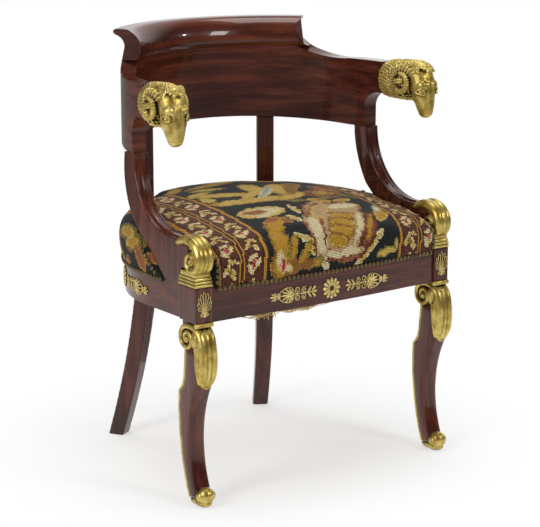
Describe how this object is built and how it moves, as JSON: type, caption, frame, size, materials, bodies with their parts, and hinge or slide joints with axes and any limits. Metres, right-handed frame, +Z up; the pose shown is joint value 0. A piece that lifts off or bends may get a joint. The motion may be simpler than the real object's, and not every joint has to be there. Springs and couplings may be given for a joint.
{
  "type": "desk armchair",
  "caption": "Mahogany desk armchair with a curved tub back, gilt ram's head arms, gilt scrolls and feet, gilt bronze mounts and a domed needlepoint seat",
  "frame": {"origin": "On the floor under the middle of the chair's overall box.", "axes": "+Z is up. +Y points to the back of the chair and -Y to the front, where one sits down from. +X points to the right of someone who stands in front of the chair and looks at it."},
  "size_m": [0.6396, 0.4953, 0.82],
  "materials": {
    "mahogany": "french polished",
    "gilt_carving": "water gilded, worn",
    "ormolu": "gilt bronze, chased",
    "nail_brass": "antique dark",
    "needlepoint": "wool cross stitch",
    "horsehair": "curled hair",
    "jute_canvas": "plain weave",
    "jute_webbing": "twill tape",
    "beech": "raw",
    "screw_steel": "plain"
  },
  "bodies": {
    "root": {"arm_dowels": "beech", "arm_scroll_left": "gilt_carving", "arm_scroll_right": "gilt_carving", "arm_support_left": "mahogany", "arm_support_right": "mahogany", "back_panel": "mahogany", "corner_block_screws": "screw_steel", "corner_blocks": "beech", "crest_dowels": "beech", "crest_rail": "mahogany", "front_foot_left": "gilt_carving", "front_foot_right": "gilt_carving", "front_leg_left": "mahogany", "front_leg_right": "mahogany", "front_rail": "mahogany", "front_rosette": "ormolu", "front_spray_left": "ormolu", "front_spray_right": "ormolu", "knee_scroll_left": "gilt_carving", "knee_scroll_right": "gilt_carving", "leg_collar_left": "gilt_carving", "leg_collar_right": "gilt_carving", "leg_edge_left": "gilt_carving", "leg_edge_right": "gilt_carving", "nails_back": "nail_brass", "nails_front": "nail_brass", "nails_left": "nail_brass", "nails_right": "nail_brass", "post_cap_left": "gilt_carving", "post_cap_right": "gilt_carving", "post_palmette_left": "ormolu", "post_palmette_right": "ormolu", "ram_head_dowels": "beech", "ram_head_left": "gilt_carving", "ram_head_right": "gilt_carving", "rear_leg_left": "mahogany", "rear_leg_right": "mahogany", "rear_rail": "mahogany", "scroll_dowels": "beech", "seat_canvas": "jute_canvas", "seat_cover": "needlepoint", "seat_lining": "jute_canvas", "seat_stuffing": "horsehair", "seat_webbing": "jute_webbing", "side_rail_left": "mahogany", "side_rail_right": "mahogany", "side_rosette_left": "ormolu", "side_rosette_right": "ormolu", "side_spray_front_left": "ormolu", "side_spray_front_right": "ormolu", "side_spray_rear_left": "ormolu", "side_spray_rear_right": "ormolu"}
  },
  "joints": []
}
